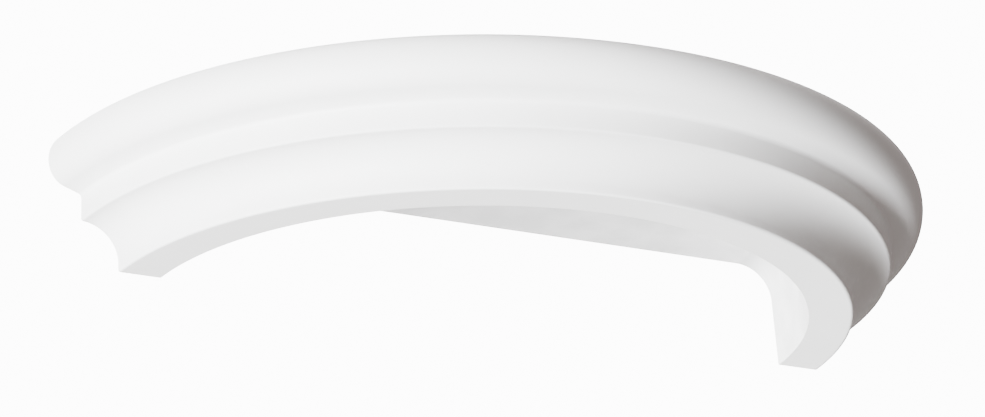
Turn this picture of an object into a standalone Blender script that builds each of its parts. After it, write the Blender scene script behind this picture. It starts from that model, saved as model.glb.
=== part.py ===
"""Half column ring: a half-round cast moulding that caps a half column's shaft against a wall.

The moulding is turned about an upright axis and cut off flat at the back, where it meets the wall.
From the top down its profile has a flat top, a roll, a quirk, an upright fillet, an arris, a cove and a
flat rim. A recess under the flat top takes the shaft. Metres, +Z up, the wall on the +Y side, the origin
at the middle of the underside.
"""

import math

import bmesh
import bpy

# Overall
HEIGHT = 0.040
WALL_CUT = 0.0045  # the flat back stands this far in front of the turning axis

# Rim and recess
BORE_RADIUS = 0.100  # at the mouth, the radius of the shaft it takes
BORE_DRAFT = 0.0025  # how much narrower the recess is at its ceiling
RIM_RADIUS = 0.1134
RIM_BAND = 0.003  # upright stretch above the rim's outer edge
CEILING_HEIGHT = 0.0307
CEILING_CORNER = 0.0115  # radius of the round corner between recess wall and ceiling

# Cove, arris and fillet
ARRIS_RADIUS = 0.1249
ARRIS_HEIGHT = 0.0141
COVE_SAGITTA = 0.0031  # depth of the cove's arc behind its chord
QUIRK_RADIUS = 0.0014

# Roll, an upright ellipse that runs out into a straight sloping soffit
ROLL_REACH = 0.0068  # from the roll's middle out to its widest point
ROLL_HALF_HEIGHT = 0.0082
ROLL_END = -74  # degrees round the ellipse from its widest point, where the soffit starts
OUTER_RADIUS = 0.1351

# How finely the round parts are faceted
RING_STEPS = 72
ROLL_STEPS = 20
COVE_STEPS = 9
QUIRK_STEPS = 3
CORNER_STEPS = 7
SHARP_ANGLE = math.radians(28)

WHITE_PRIMER = (0.88, 0.88, 0.87, 1.0)


def clear_scene():
    for item in list(bpy.data.objects):
        bpy.data.objects.remove(item, do_unlink=True)


def arc(centre, half_width, half_height, start, stop, steps):
    """Points on an upright ellipse, from one angle to another, in degrees, both ends included."""
    points = []
    for i in range(steps + 1):
        angle = math.radians(start + (stop - start) * i / steps)
        points.append((
            centre[0] + half_width * math.cos(angle),
            centre[1] + half_height * math.sin(angle),
        ))
    return points


def hollow_arc(start, end, sagitta, steps):
    """Points on the circular arc between two points that bends towards the axis by the sagitta."""
    run = end[0] - start[0]
    rise = end[1] - start[1]
    chord = math.hypot(run, rise)
    radius = chord * chord / (8 * sagitta) + sagitta / 2
    half_angle = math.asin(chord / 2 / radius)
    # along the chord, and square to it on the side of the arc's centre
    along = (run / chord, rise / chord)
    aside = (-along[1], along[0])
    if aside[0] < 0:
        aside = (along[1], -along[0])
    middle = ((start[0] + end[0]) / 2, (start[1] + end[1]) / 2)
    back = radius - sagitta
    centre = (middle[0] + aside[0] * back, middle[1] + aside[1] * back)
    points = []
    for i in range(steps + 1):
        angle = half_angle * (2 * i / steps - 1)
        forward = radius * math.sin(angle)
        inward = radius * math.cos(angle)
        points.append((
            centre[0] + along[0] * forward - aside[0] * inward,
            centre[1] + along[1] * forward - aside[1] * inward,
        ))
    return points


def roll_and_quirk():
    """The roll, its soffit, and the small hollow that turns the soffit down into the fillet."""
    roll_centre = (OUTER_RADIUS - ROLL_REACH, HEIGHT - ROLL_HALF_HEIGHT)
    roll = arc(roll_centre, ROLL_REACH, ROLL_HALF_HEIGHT, 90, ROLL_END, ROLL_STEPS)
    foot_radius, foot_height = roll[-1]
    end = math.radians(ROLL_END)
    slope = math.atan2(ROLL_HALF_HEIGHT * math.cos(end), -ROLL_REACH * math.sin(end))
    quirk_start = ARRIS_RADIUS + QUIRK_RADIUS * (1 - math.sin(slope))
    soffit_end = foot_height - (foot_radius - quirk_start) * math.tan(slope)
    quirk_centre = (ARRIS_RADIUS + QUIRK_RADIUS, soffit_end - QUIRK_RADIUS * math.cos(slope))
    first = 90 + math.degrees(slope)
    return roll + arc(quirk_centre, QUIRK_RADIUS, QUIRK_RADIUS, first, 180, QUIRK_STEPS)


def outer_profile():
    """(radius, height) points down the moulded face, from the flat top's edge to the rim's outer edge."""
    arris = (ARRIS_RADIUS, ARRIS_HEIGHT)
    band_top = (RIM_RADIUS, RIM_BAND)
    points = roll_and_quirk()
    points += hollow_arc(arris, band_top, COVE_SAGITTA, COVE_STEPS)
    points.append((RIM_RADIUS, 0.0))
    return points


def recess_profile():
    """(radius, height) points up the recess, from the rim's inner edge to the edge of the flat ceiling."""
    straight_top = CEILING_HEIGHT - CEILING_CORNER
    top_radius = BORE_RADIUS - BORE_DRAFT * straight_top / CEILING_HEIGHT
    corner_centre = (top_radius - CEILING_CORNER, straight_top)
    points = [(BORE_RADIUS, 0.0)]
    points += arc(corner_centre, CEILING_CORNER, CEILING_CORNER, 0, 90, CORNER_STEPS)
    return points


def ring_row(bm, radius, height, axis_y):
    """Vertices along one circle of the ring, from the wall plane round to the wall plane again."""
    first = math.asin(WALL_CUT / radius)
    row = []
    for i in range(RING_STEPS + 1):
        angle = first + (math.pi - 2 * first) * i / RING_STEPS
        row.append(bm.verts.new((radius * math.cos(angle), axis_y - radius * math.sin(angle), height)))
    return row


def ring_mesh():
    """The closed body: rings of quads over the profile, and one flat face each for top, ceiling and back."""
    axis_y = (OUTER_RADIUS + WALL_CUT) / 2
    bm = bmesh.new()
    rows = [ring_row(bm, radius, height, axis_y) for radius, height in outer_profile() + recess_profile()]
    for upper, lower in zip(rows, rows[1:]):
        for i in range(RING_STEPS):
            bm.faces.new((upper[i], upper[i + 1], lower[i + 1], lower[i]))
    bm.faces.new(rows[0])
    bm.faces.new(rows[-1])
    right_end = [row[0] for row in rows]
    left_end = [row[-1] for row in rows]
    bm.faces.new(right_end + left_end[::-1])
    bmesh.ops.recalc_face_normals(bm, faces=bm.faces)
    mesh = bpy.data.meshes.new("half_column_ring")
    bm.to_mesh(mesh)
    bm.free()
    mesh.shade_smooth()
    mesh.set_sharp_from_angle(angle=SHARP_ANGLE)
    return mesh


def primed_white():
    material = bpy.data.materials.new("primed_white")
    material.use_nodes = True
    shader = material.node_tree.nodes["Principled BSDF"]
    shader.inputs["Base Color"].default_value = WHITE_PRIMER
    shader.inputs["Roughness"].default_value = 0.6
    shader.inputs["Metallic"].default_value = 0.0
    return material


def main():
    clear_scene()
    mesh = ring_mesh()
    mesh.materials.append(primed_white())
    ring = bpy.data.objects.new("half_column_ring", mesh)
    bpy.context.scene.collection.objects.link(ring)


main()
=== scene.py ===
"""Half column ring: the looks.

One white casting, modelled finely over the same profile as the solid, in a plain pale studio. Metres,
+Z up, the wall on the +Y side, the origin at the middle of the underside.
"""

import math

import bmesh
import bpy
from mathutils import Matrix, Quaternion, Vector, noise


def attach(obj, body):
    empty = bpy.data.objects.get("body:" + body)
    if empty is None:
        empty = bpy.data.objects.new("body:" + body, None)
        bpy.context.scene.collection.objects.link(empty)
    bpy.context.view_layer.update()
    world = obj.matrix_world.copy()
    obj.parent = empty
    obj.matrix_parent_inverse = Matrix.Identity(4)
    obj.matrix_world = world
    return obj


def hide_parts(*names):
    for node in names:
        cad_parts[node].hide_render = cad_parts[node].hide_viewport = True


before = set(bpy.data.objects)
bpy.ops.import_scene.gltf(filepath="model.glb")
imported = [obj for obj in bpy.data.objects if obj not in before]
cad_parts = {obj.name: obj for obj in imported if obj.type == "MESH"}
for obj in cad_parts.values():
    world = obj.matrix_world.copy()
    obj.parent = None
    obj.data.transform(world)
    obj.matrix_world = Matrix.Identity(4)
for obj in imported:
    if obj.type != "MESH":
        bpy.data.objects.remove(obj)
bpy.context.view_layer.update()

NODE = "half_column_ring"

# Overall, as in the solid
HEIGHT = 0.040
WALL_CUT = 0.0045  # the flat back stands this far in front of the turning axis
OUTER_RADIUS = 0.1351
AXIS_Y = (OUTER_RADIUS + WALL_CUT) / 2  # puts the origin midway between the roll's front and the back

# Rim and recess, as in the solid
BORE_RADIUS = 0.100  # at the mouth
BORE_DRAFT = 0.0025  # how much narrower the recess is at its ceiling
RIM_RADIUS = 0.1134
RIM_BAND = 0.003  # upright stretch above the rim's outer edge
CEILING_HEIGHT = 0.0307
CEILING_CORNER = 0.0115  # radius of the round corner between recess wall and ceiling

# Cove, arris, fillet and roll, as in the solid
ARRIS_RADIUS = 0.1249
ARRIS_HEIGHT = 0.0141
COVE_SAGITTA = 0.0031  # depth of the cove's arc behind its chord
QUIRK_RADIUS = 0.0014
ROLL_REACH = 0.0068  # from the roll's middle out to its widest point
ROLL_HALF_HEIGHT = 0.0082
ROLL_END = -74  # degrees round the ellipse from its widest point, where the soffit starts

# How far the casting's eased edges reach along each side of the solid's sharp ones
ARRIS_EASE = (0.0007, 0.001)  # up the fillet and in under the cove
RIM_EASE = (0.0008, 0.0011)  # up the band and in under the rim
MOUTH_EASE = (0.0003, 0.0003)  # in under the rim and up the recess
BACK_EASE = 0.00025  # both ways, all round the flat back

# How finely the round parts are meshed
RING_STEPS = 360
ROLL_STEPS = 44
COVE_STEPS = 24
QUIRK_STEPS = 8
CORNER_STEPS = 16
EASE_STEPS = 8
BACK_EASE_STEPS = 3
BAND_STEPS = 4

# The casting isn't perfectly true: a slow unevenness, always into the material
WAVE_DEPTH = 0.00008
WAVE_LENGTH = 0.032

# Finishes, in the order of the mesh's material slots
PRIMED, RIM, RECESS, SAWN = range(4)

# The two colours that a cloudy pattern mixes in each finish
PRIMED_COLOURS = ((0.85, 0.85, 0.85), (0.835, 0.835, 0.833))
# Painted light: the rim's underside is painted whiter, standing in for light from below
RIM_PAINTED_LIGHT_COLOURS = ((0.905, 0.905, 0.903), (0.89, 0.89, 0.888))
# Partly painted shade: the recess is painted darker all over than the faces; its mottle is the casting's
# own
RECESS_MOTTLE_AND_SHADE_COLOURS = ((0.78, 0.78, 0.78), (0.69, 0.69, 0.69))
SAWN_COLOURS = ((0.78, 0.765, 0.72), (0.73, 0.71, 0.66))

# Painted shade: the recess's corner round is painted a little darker, where the shade falls
CORNER_SHADE = "corner_shade"  # the mesh's measure of it
CORNER_SHADE_SHARE = 0.72  # of the way round, from the ceiling
CORNER_SHADE_TINT = (0.82, 0.82, 0.82)

# The lowest and highest roughness in each finish
PRIMED_ROUGHNESS = (0.5, 0.62)
RECESS_ROUGHNESS = (0.6, 0.75)
SAWN_ROUGHNESS = (0.75, 0.9)

# The middle stretch of a cloudy pattern, over which it changes colour or roughness
COLOUR_SPAN = (0.35, 0.65)
MOTTLE_SPAN = (0.36, 0.62)
ROUGHNESS_SPAN = (0.3, 0.7)

# The height of the relief that is too fine for the mesh
ORANGE_PEEL = 0.000012
PRIMER_GRAIN = 0.000009
RECESS_RIPPLE = 0.00008
RECESS_GRAIN = 0.00003
SAW_MARKS = 0.00006
OPEN_CELLS = 0.00005

# The camera, seen from the turning axis at the underside
CAMERA_AZIMUTH = math.radians(-24.7642)
CAMERA_ELEVATION = math.radians(-19.8945)
CAMERA_ROLL = math.radians(-1.0328)
CAMERA_DISTANCE = 1.8567
CAMERA_LENS = 229.68  # mm
SENSOR_WIDTH = 36.0  # mm
AIM_RIGHT = 0.00729  # how far right of the axis the middle of the picture is
AIM_UP = 0.03501

# Studio
FLOOR_HEIGHT = -2.6
FLOOR_RADIUS = 14.0
FLOOR_SIDES = 64
FLOOR_COLOUR = (0.5, 0.5, 0.5)
FLOOR_GLOW = 7.5
BACKDROP_WHITE = 8.0  # bright enough to show as white after the film curve
AMBIENT = (0.269, 0.242, 0.232)

# Soft lights: name, azimuth, elevation and apparent width in degrees, strength, colour
SOFT_LIGHTS = (
    ("key", -68, -22, 36, 2.55, (1.0, 0.99, 0.963)),
    ("inner_key", -60, -25, 20, 1.23, (0.87, 0.935, 1.0)),
    ("overhead", -90, 75, 40, 0.52, (0.97, 0.98, 1.0)),
    ("wall_side", 180, 45, 40, 0.8, (0.95, 0.99, 1.0)),
    ("end_fill", 163, 5, 24, 0.4, (0.97, 0.99, 1.0)),
    ("low_fill", -140, -45, 40, 0.09, (1.0, 1.0, 1.0)),
)


def arc(centre, half_width, half_height, start, stop, steps):
    """Points on an upright ellipse, from one angle to another, in degrees, both ends included."""
    points = []
    for i in range(steps + 1):
        angle = math.radians(start + (stop - start) * i / steps)
        points.append((
            centre[0] + half_width * math.cos(angle),
            centre[1] + half_height * math.sin(angle),
        ))
    return points


def hollow_arc(start, end, sagitta, steps):
    """Points on the circular arc between two points that bends towards the axis by the sagitta."""
    run = end[0] - start[0]
    rise = end[1] - start[1]
    chord = math.hypot(run, rise)
    radius = chord * chord / (8 * sagitta) + sagitta / 2
    half_angle = math.asin(chord / 2 / radius)
    # along the chord, and square to it on the side of the arc's centre
    along = (run / chord, rise / chord)
    aside = (-along[1], along[0])
    if aside[0] < 0:
        aside = (along[1], -along[0])
    middle = ((start[0] + end[0]) / 2, (start[1] + end[1]) / 2)
    back = radius - sagitta
    centre = (middle[0] + aside[0] * back, middle[1] + aside[1] * back)
    points = []
    for i in range(steps + 1):
        angle = half_angle * (2 * i / steps - 1)
        forward = radius * math.sin(angle)
        inward = radius * math.cos(angle)
        points.append((
            centre[0] + along[0] * forward - aside[0] * inward,
            centre[1] + along[1] * forward - aside[1] * inward,
        ))
    return points


def eased(before, corner, after, reaches):
    """Points on a smooth curve that replaces a corner and touches both of its sides at those reaches."""
    corner = Vector(corner)
    first = corner + (Vector(before) - corner).normalized() * reaches[0]
    last = corner + (Vector(after) - corner).normalized() * reaches[1]
    points = []
    for i in range(EASE_STEPS + 1):
        share = i / EASE_STEPS
        points.append(tuple(first.lerp(corner, share).lerp(corner.lerp(last, share), share)))
    return points


def even(start, end, steps):
    """Points between two points, evenly spaced, both ends left out."""
    points = []
    for i in range(1, steps):
        share = i / steps
        points.append((start[0] + (end[0] - start[0]) * share, start[1] + (end[1] - start[1]) * share))
    return points


def roll_and_quirk():
    """The roll, its soffit, and the small hollow that turns the soffit down into the fillet."""
    roll_centre = (OUTER_RADIUS - ROLL_REACH, HEIGHT - ROLL_HALF_HEIGHT)
    roll = arc(roll_centre, ROLL_REACH, ROLL_HALF_HEIGHT, 90, ROLL_END, ROLL_STEPS)
    foot_radius, foot_height = roll[-1]
    end = math.radians(ROLL_END)
    slope = math.atan2(ROLL_HALF_HEIGHT * math.cos(end), -ROLL_REACH * math.sin(end))
    quirk_start = ARRIS_RADIUS + QUIRK_RADIUS * (1 - math.sin(slope))
    soffit_end = foot_height - (foot_radius - quirk_start) * math.tan(slope)
    quirk_centre = (ARRIS_RADIUS + QUIRK_RADIUS, soffit_end - QUIRK_RADIUS * math.cos(slope))
    first = 90 + math.degrees(slope)
    return roll + arc(quirk_centre, QUIRK_RADIUS, QUIRK_RADIUS, first, 180, QUIRK_STEPS)


def outer_profile():
    """(radius, height) points down the moulded face, from the flat top's edge to the rim's underside."""
    roll = roll_and_quirk()
    cove = hollow_arc((ARRIS_RADIUS, ARRIS_HEIGHT), (RIM_RADIUS, RIM_BAND), COVE_SAGITTA, COVE_STEPS)
    # the arris's ease takes the place of the cove's first two steps
    arris = eased(roll[-1], cove[0], cove[2], ARRIS_EASE)
    rim_edge = eased(cove[-1], (RIM_RADIUS, 0.0), (BORE_RADIUS, 0.0), RIM_EASE)
    fillet = even(roll[-1], arris[0], BAND_STEPS)
    band = even(cove[-1], rim_edge[0], BAND_STEPS)
    return roll + fillet + arris + cove[2:] + band + rim_edge


def recess_profile():
    """(radius, height) points up the recess, from the rim's underside to the edge of the flat ceiling."""
    straight_top = CEILING_HEIGHT - CEILING_CORNER
    top_radius = BORE_RADIUS - BORE_DRAFT * straight_top / CEILING_HEIGHT
    corner_centre = (top_radius - CEILING_CORNER, straight_top)
    corner = arc(corner_centre, CEILING_CORNER, CEILING_CORNER, 0, 90, CORNER_STEPS)
    mouth = eased((RIM_RADIUS, 0.0), (BORE_RADIUS, 0.0), corner[0], MOUTH_EASE)
    return mouth + even(mouth[-1], corner[0], BAND_STEPS) + corner


def sunk(radius, angle, height):
    """How far the cast surface lies inside the true one there."""
    place = Vector((radius * math.cos(angle), radius * math.sin(angle), height))
    return WAVE_DEPTH * (0.5 + 0.5 * noise.noise(place / WAVE_LENGTH))


def ring_row(bm, radius, height, inward):
    """Vertices along one circle, from the wall plane round to it again, sunk inward (1) or outward (-1)."""
    first = math.asin(WALL_CUT / radius)
    row = []
    for i in range(RING_STEPS + 1):
        angle = first + (math.pi - 2 * first) * i / RING_STEPS
        reach = radius - inward * sunk(radius, angle, height)
        y = AXIS_Y - reach * math.sin(angle)
        if i in (0, RING_STEPS):
            y = AXIS_Y - WALL_CUT
        row.append(bm.verts.new((reach * math.cos(angle), y, height)))
    return row


def finish_of_band(number, outer_count):
    """The finish between a row and the next: the moulded face, the rim's underside or the recess."""
    if number < outer_count - 1:
        return PRIMED
    if number < outer_count:
        return RIM
    return RECESS


def corner_shade_amount(steps_from_ceiling):
    """How much painted shade the corner round gets: 0 at the ceiling, quickly up to 1, and slowly down to 0
    before the wall.
    """
    share = steps_from_ceiling / (CORNER_SHADE_SHARE * CORNER_STEPS)
    return math.sin(math.pi * math.sqrt(min(share, 1.0)))


def ring_mesh():
    """The closed body: rings of quads over the profile, and a flat face each for top, ceiling and back."""
    bm = bmesh.new()
    painted_shade = bm.verts.layers.float.new(CORNER_SHADE)
    rows = [ring_row(bm, radius, height, 1) for radius, height in outer_profile()]
    outer_count = len(rows)
    rows += [ring_row(bm, radius, height, -1) for radius, height in recess_profile()]
    # painted shade for the recess's corner round, row by row from the ceiling
    for steps_from_ceiling, row in enumerate(reversed(rows)):
        for vertex in row:
            vertex[painted_shade] = corner_shade_amount(steps_from_ceiling)
    for number, (upper, lower) in enumerate(zip(rows, rows[1:])):
        for i in range(RING_STEPS):
            face = bm.faces.new((upper[i], upper[i + 1], lower[i + 1], lower[i]))
            face.material_index = finish_of_band(number, outer_count)
    bm.faces.new(rows[0])
    ceiling = bm.faces.new(rows[-1])
    ceiling.material_index = RECESS
    right_end = [row[0] for row in rows]
    left_end = [row[-1] for row in rows]
    back = bm.faces.new(right_end + left_end[::-1])
    back.material_index = SAWN
    weight = bm.edges.layers.float.new("bevel_weight_edge")
    for edge in back.edges:
        edge[weight] = 1.0
    bmesh.ops.recalc_face_normals(bm, faces=bm.faces)
    mesh = bpy.data.meshes.new("ring_casting")
    bm.to_mesh(mesh)
    bm.free()
    mesh.shade_smooth()
    return mesh


def ease_back(ring):
    """Rounds the edges all round the flat back, and keeps the flat faces flat in the shading."""
    bevel = ring.modifiers.new("back_edges", "BEVEL")
    bevel.limit_method = "WEIGHT"
    bevel.width = BACK_EASE
    bevel.segments = BACK_EASE_STEPS
    normals = ring.modifiers.new("flat_faces", "WEIGHTED_NORMAL")
    normals.mode = "FACE_AREA"


def clouds(tree, per_metre, detail, stretch=(1.0, 1.0, 1.0)):
    """A cloudy pattern from 0 to 1, fixed to the casting, with that many clouds to the metre."""
    place = tree.nodes.new("ShaderNodeTexCoord")
    mapping = tree.nodes.new("ShaderNodeMapping")
    mapping.inputs["Scale"].default_value = stretch
    pattern = tree.nodes.new("ShaderNodeTexNoise")
    pattern.inputs["Scale"].default_value = per_metre
    pattern.inputs["Detail"].default_value = detail
    tree.links.new(place.outputs["Object"], mapping.inputs["Vector"])
    tree.links.new(mapping.outputs["Vector"], pattern.inputs["Vector"])
    return pattern.outputs["Fac"]


def pits(tree, per_metre, width):
    """A pattern that is 1 on the open surface and falls to 0 in small round pits."""
    place = tree.nodes.new("ShaderNodeTexCoord")
    cells = tree.nodes.new("ShaderNodeTexVoronoi")
    cells.inputs["Scale"].default_value = per_metre
    tree.links.new(place.outputs["Object"], cells.inputs["Vector"])
    return ranged(tree, cells.outputs["Distance"], (0.0, width), (0.0, 1.0))


def ranged(tree, share, span, values):
    """The pattern's span stretched to run from one value to the other, and held there beyond it."""
    mapped = tree.nodes.new("ShaderNodeMapRange")
    mapped.inputs["From Min"].default_value = span[0]
    mapped.inputs["From Max"].default_value = span[1]
    mapped.inputs["To Min"].default_value = values[0]
    mapped.inputs["To Max"].default_value = values[1]
    tree.links.new(share, mapped.inputs["Value"])
    return mapped.outputs["Result"]


def tinted(tree, shader, pattern, span, colours):
    """Sets the shader's colour from the first colour to the second, over the pattern's span."""
    mix = tree.nodes.new("ShaderNodeMix")
    mix.data_type = "RGBA"
    tree.links.new(ranged(tree, pattern, span, (0.0, 1.0)), mix.inputs["Factor"])
    mix.inputs["A"].default_value = (*colours[0], 1.0)
    mix.inputs["B"].default_value = (*colours[1], 1.0)
    tree.links.new(mix.outputs["Result"], shader.inputs["Base Color"])


def corner_shaded(tree, shader, tint):
    """Darkens the shader's colour as painted shade, where the mesh's measure of painted corner shade says
    so.
    """
    painted_shade = tree.nodes.new("ShaderNodeAttribute")
    painted_shade.attribute_name = CORNER_SHADE
    mix = tree.nodes.new("ShaderNodeMix")
    mix.data_type = "RGBA"
    mix.blend_type = "MULTIPLY"
    unshaded_colour = shader.inputs["Base Color"].links[0].from_socket
    tree.links.new(painted_shade.outputs["Fac"], mix.inputs["Factor"])
    tree.links.new(unshaded_colour, mix.inputs["A"])
    mix.inputs["B"].default_value = (*tint, 1.0)
    tree.links.new(mix.outputs["Result"], shader.inputs["Base Color"])


def roughened(tree, shader, pattern, roughness):
    """Sets the shader's roughness from the lowest to the highest, by the pattern."""
    tree.links.new(ranged(tree, pattern, ROUGHNESS_SPAN, roughness), shader.inputs["Roughness"])


def embossed(tree, shader, reliefs):
    """Puts small relief on the surface: each relief is a pattern and its height in metres."""
    below = None
    for pattern, height in reliefs:
        bump = tree.nodes.new("ShaderNodeBump")
        bump.inputs["Distance"].default_value = height
        tree.links.new(pattern, bump.inputs["Height"])
        if below:
            tree.links.new(below, bump.inputs["Normal"])
        below = bump.outputs["Normal"]
    tree.links.new(below, shader.inputs["Normal"])


def new_finish(name):
    material = bpy.data.materials.new(name)
    material.use_nodes = True
    return material, material.node_tree, material.node_tree.nodes["Principled BSDF"]


def primed(name, colours):
    """Sprayed white primer: even, with a fine orange peel."""
    material, tree, shader = new_finish(name)
    tinted(tree, shader, clouds(tree, per_metre=24, detail=3), COLOUR_SPAN, colours)
    roughened(tree, shader, clouds(tree, per_metre=70, detail=2), PRIMED_ROUGHNESS)
    peel = clouds(tree, per_metre=150, detail=2)
    grain = clouds(tree, per_metre=620, detail=2)
    embossed(tree, shader, [(peel, ORANGE_PEEL), (grain, PRIMER_GRAIN)])
    return material


def primed_face():
    return primed("primed_white", PRIMED_COLOURS)


def primed_rim_painted_light():
    """The same primer on the rim's underside, painted a little whiter as painted light from below."""
    return primed("primed_rim_painted_light", RIM_PAINTED_LIGHT_COLOURS)


def recess_white():
    """The recess, as cast: mottled, painted darker all over as painted shade in the recess, and rougher
    than the faces that show.
    """
    material, tree, shader = new_finish("recess_white")
    tinted(tree, shader, clouds(tree, per_metre=75, detail=6), MOTTLE_SPAN, RECESS_MOTTLE_AND_SHADE_COLOURS)
    # painted shade in the recess's corner round
    corner_shaded(tree, shader, CORNER_SHADE_TINT)
    roughened(tree, shader, clouds(tree, per_metre=90, detail=3), RECESS_ROUGHNESS)
    ripple = clouds(tree, per_metre=60, detail=3)
    grain = clouds(tree, per_metre=320, detail=4)
    embossed(tree, shader, [(ripple, RECESS_RIPPLE), (grain, RECESS_GRAIN)])
    return material


def sawn_back():
    """The flat back, sawn across the foam: unprimed, with saw lines along it and open cells."""
    material, tree, shader = new_finish("sawn_back")
    tinted(tree, shader, clouds(tree, per_metre=40, detail=4), COLOUR_SPAN, SAWN_COLOURS)
    roughened(tree, shader, clouds(tree, per_metre=200, detail=3), SAWN_ROUGHNESS)
    saw_lines = clouds(tree, per_metre=60, detail=2, stretch=(0.12, 1.0, 14.0))
    cells = pits(tree, per_metre=900, width=0.35)
    embossed(tree, shader, [(saw_lines, SAW_MARKS), (cells, OPEN_CELLS)])
    return material


def make_ring():
    mesh = ring_mesh()
    for finish in (primed_face, primed_rim_painted_light, recess_white, sawn_back):
        mesh.materials.append(finish())
    ring = bpy.data.objects.new("ring_casting", mesh)
    bpy.context.scene.collection.objects.link(ring)
    ease_back(ring)
    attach(ring, "root")
    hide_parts(NODE)


def direction(azimuth, elevation):
    """From the object towards a place seen at that azimuth, from the front, and elevation."""
    return Vector((
        math.sin(azimuth) * math.cos(elevation),
        -math.cos(azimuth) * math.cos(elevation),
        math.sin(elevation),
    ))


def make_camera():
    """The photograph's camera, which looks up at the ring from below and from its left."""
    axis = Vector((0.0, AXIS_Y, 0.0))
    towards = direction(CAMERA_AZIMUTH, CAMERA_ELEVATION)
    right = Vector((math.cos(CAMERA_AZIMUTH), math.sin(CAMERA_AZIMUTH), 0.0))
    up = right.cross(-towards)
    place = axis + towards * CAMERA_DISTANCE
    aim = axis + right * AIM_RIGHT + up * AIM_UP
    data = bpy.data.cameras.new("photo_camera")
    data.lens = CAMERA_LENS
    data.sensor_width = SENSOR_WIDTH
    camera = bpy.data.objects.new("photo_camera", data)
    camera.rotation_mode = "QUATERNION"
    camera.location = place
    camera.rotation_quaternion = (aim - place).to_track_quat("-Z", "Y") @ Quaternion((0, 0, 1), CAMERA_ROLL)
    bpy.context.scene.collection.objects.link(camera)
    bpy.context.scene.camera = camera


def make_light(name, azimuth, elevation, width, strength, colour):
    """A broad soft light, far off in that direction."""
    data = bpy.data.lights.new(name, "SUN")
    data.angle = math.radians(width)
    data.energy = strength * math.pi
    data.color = colour
    light = bpy.data.objects.new(name, data)
    towards = direction(math.radians(azimuth), math.radians(elevation))
    light.rotation_mode = "QUATERNION"
    light.rotation_quaternion = towards.to_track_quat("Z", "Y")
    bpy.context.scene.collection.objects.link(light)


def make_world():
    """A white backdrop all round, which gives less light than it shows."""
    world = bpy.data.worlds.new("studio")
    bpy.context.scene.world = world
    world.use_nodes = True
    nodes = world.node_tree.nodes
    links = world.node_tree.links
    ambient = nodes["Background"]
    ambient.inputs["Color"].default_value = (*AMBIENT, 1.0)
    backdrop = nodes.new("ShaderNodeBackground")
    backdrop.inputs["Color"].default_value = (1.0, 1.0, 1.0, 1.0)
    backdrop.inputs["Strength"].default_value = BACKDROP_WHITE
    seen = nodes.new("ShaderNodeLightPath")
    mix = nodes.new("ShaderNodeMixShader")
    links.new(seen.outputs["Is Camera Ray"], mix.inputs["Fac"])
    links.new(ambient.outputs["Background"], mix.inputs[1])
    links.new(backdrop.outputs["Background"], mix.inputs[2])
    links.new(mix.outputs["Shader"], nodes["World Output"].inputs["Surface"])


def make_floor():
    """A pale floor, low enough for the ring to be looked at from below."""
    bm = bmesh.new()
    bmesh.ops.create_circle(bm, cap_ends=True, segments=FLOOR_SIDES, radius=FLOOR_RADIUS)
    mesh = bpy.data.meshes.new("floor")
    bm.to_mesh(mesh)
    bm.free()
    material = bpy.data.materials.new("floor_white")
    material.use_nodes = True
    shader = material.node_tree.nodes["Principled BSDF"]
    shader.inputs["Base Color"].default_value = (*FLOOR_COLOUR, 1.0)
    shader.inputs["Roughness"].default_value = 1.0
    shader.inputs["Emission Color"].default_value = (1.0, 1.0, 1.0, 1.0)
    shader.inputs["Emission Strength"].default_value = FLOOR_GLOW
    mesh.materials.append(material)
    floor = bpy.data.objects.new("floor", mesh)
    floor.location.z = FLOOR_HEIGHT
    floor.visible_diffuse = False
    floor.visible_glossy = False
    floor.visible_shadow = False
    bpy.context.scene.collection.objects.link(floor)


def main():
    bpy.context.scene.view_settings.view_transform = "Filmic"
    bpy.context.scene.view_settings.look = "Medium High Contrast"
    make_ring()
    make_camera()
    make_world()
    make_floor()
    for light in SOFT_LIGHTS:
        make_light(*light)


main()
